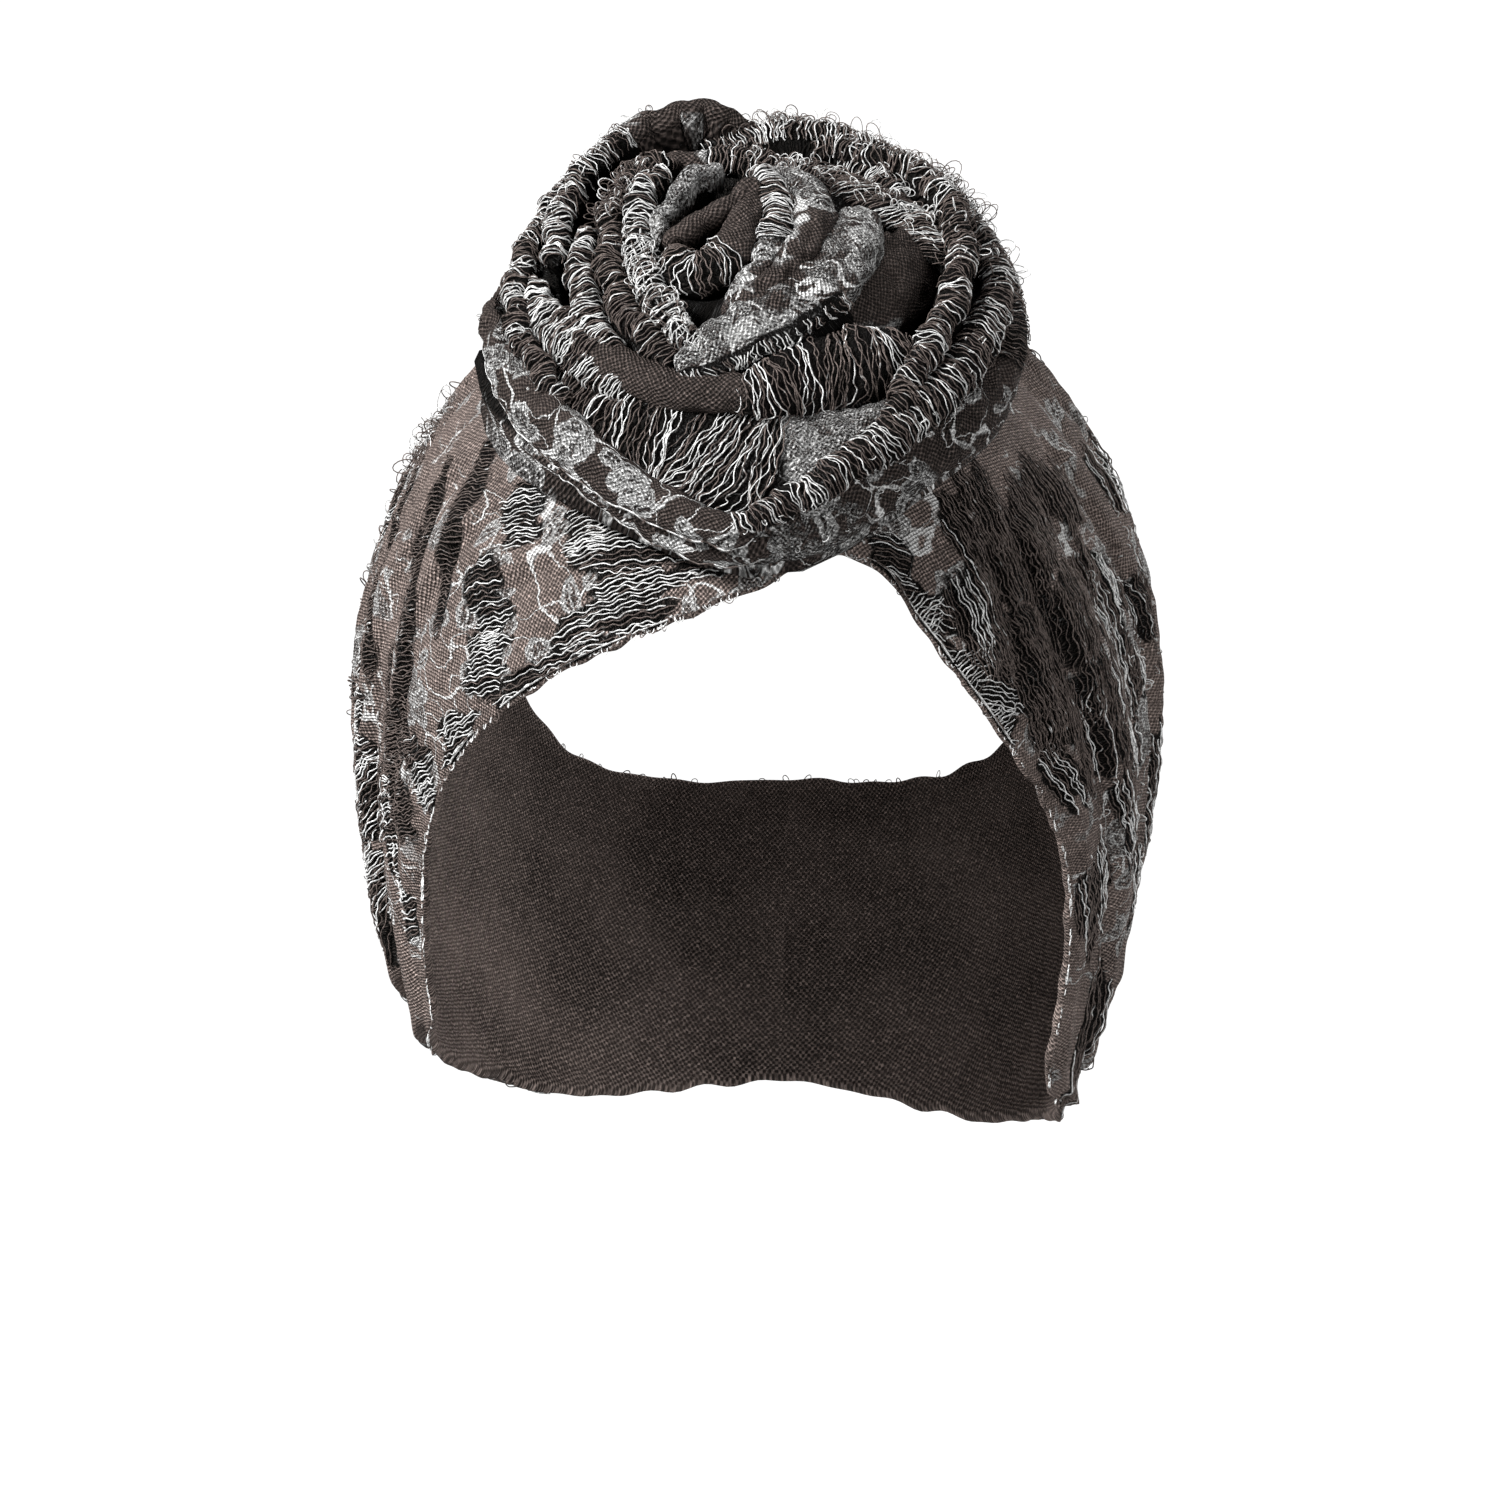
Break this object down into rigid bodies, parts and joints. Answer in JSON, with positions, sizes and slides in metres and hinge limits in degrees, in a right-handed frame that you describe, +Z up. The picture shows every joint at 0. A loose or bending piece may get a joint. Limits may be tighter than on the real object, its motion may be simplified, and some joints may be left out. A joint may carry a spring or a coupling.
{
  "type": "wide headband with wound rosette",
  "caption": "Wide pleated cloth headband, open at the back of the crown, with a large wound rosette over the brow.",
  "frame": {"origin": "the crown point inside the band, where it rests on the top of the head", "axes": "+Z up, -Y out of the face, +X towards the wearer's left"},
  "size_m": [0.1608, 0.2063, 0.2057],
  "materials": {
    "band_cloth": "matt brown-charcoal plain weave with a grey-white print and loose crosswise yarns",
    "collar_cloth": "the same cloth, with more of the grey-white print and long loose yarns",
    "rosette_cloth": "the same cloth, wound, with loose crosswise yarns over its folds"
  },
  "bodies": {
    "root": {"head_band": "band_cloth", "rosette_collar": "collar_cloth", "rosette_outer_turn": "rosette_cloth", "rosette_middle_turn": "rosette_cloth", "rosette_inner_turn": "rosette_cloth", "rosette_bud": "rosette_cloth"}
  },
  "joints": []
}
